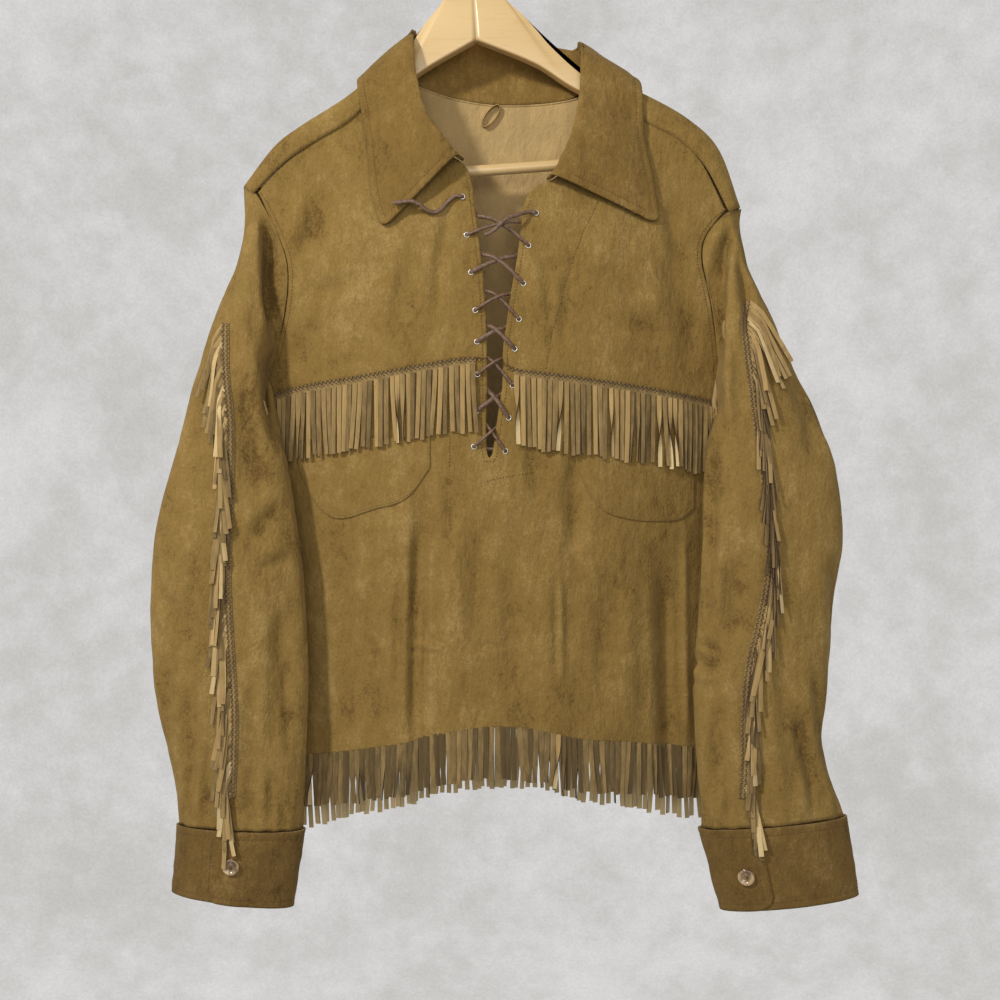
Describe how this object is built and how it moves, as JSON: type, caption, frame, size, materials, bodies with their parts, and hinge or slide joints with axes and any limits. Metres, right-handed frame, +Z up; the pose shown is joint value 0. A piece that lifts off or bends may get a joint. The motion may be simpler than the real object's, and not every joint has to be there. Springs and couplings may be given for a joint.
{
  "type": "fringed leather pullover jacket on a wooden hanger",
  "caption": "Suede pullover jacket with long collar points, laced neck slit, patch pockets and cut fringe, hung on a tilted wooden trouser hanger.",
  "frame": {"origin": "inside top of the hanger's hook, where a rail carries the jacket", "axes": "+Z up, the front of the jacket faces -Y, +X is the right-hand side as the front is seen"},
  "size_m": [0.6762, 0.1088, 0.9498],
  "materials": {
    "suede": "napped suede",
    "collar_suede": "napped suede",
    "fringe": "cut suede strands",
    "lace": "matte lace",
    "eyelet": "small bright rings",
    "button": "horn-like gloss",
    "wood": "clear satin varnish",
    "hook_steel": "plated wire"
  },
  "bodies": {
    "root": {"front_yoke_left": "suede", "front_yoke_right": "suede", "front_lower": "suede", "back": "suede", "sleeve_left": "suede", "sleeve_right": "suede", "cuff_left": "suede", "cuff_right": "suede", "button_left": "button", "button_right": "button", "collar": "collar_suede", "pocket_left": "suede", "pocket_right": "suede", "chest_fringe_left": "fringe", "chest_fringe_right": "fringe", "hem_fringe_front": "fringe", "hem_fringe_back": "fringe", "sleeve_fringe_left": "fringe", "sleeve_fringe_right": "fringe", "lace": "lace", "lace_end_left": "lace", "lace_end_right": "lace", "eyelet_left_1": "eyelet", "eyelet_left_2": "eyelet", "eyelet_left_3": "eyelet", "eyelet_left_4": "eyelet", "eyelet_left_5": "eyelet", "eyelet_left_6": "eyelet", "eyelet_left_7": "eyelet", "eyelet_left_8": "eyelet", "eyelet_right_1": "eyelet", "eyelet_right_2": "eyelet", "eyelet_right_3": "eyelet", "eyelet_right_4": "eyelet", "eyelet_right_5": "eyelet", "eyelet_right_6": "eyelet", "eyelet_right_7": "eyelet", "eyelet_right_8": "eyelet", "hanging_loop": "collar_suede", "hanger_arm_left": "wood", "hanger_arm_right": "wood", "trouser_bar": "wood", "hanger_hook": "hook_steel"}
  },
  "joints": []
}
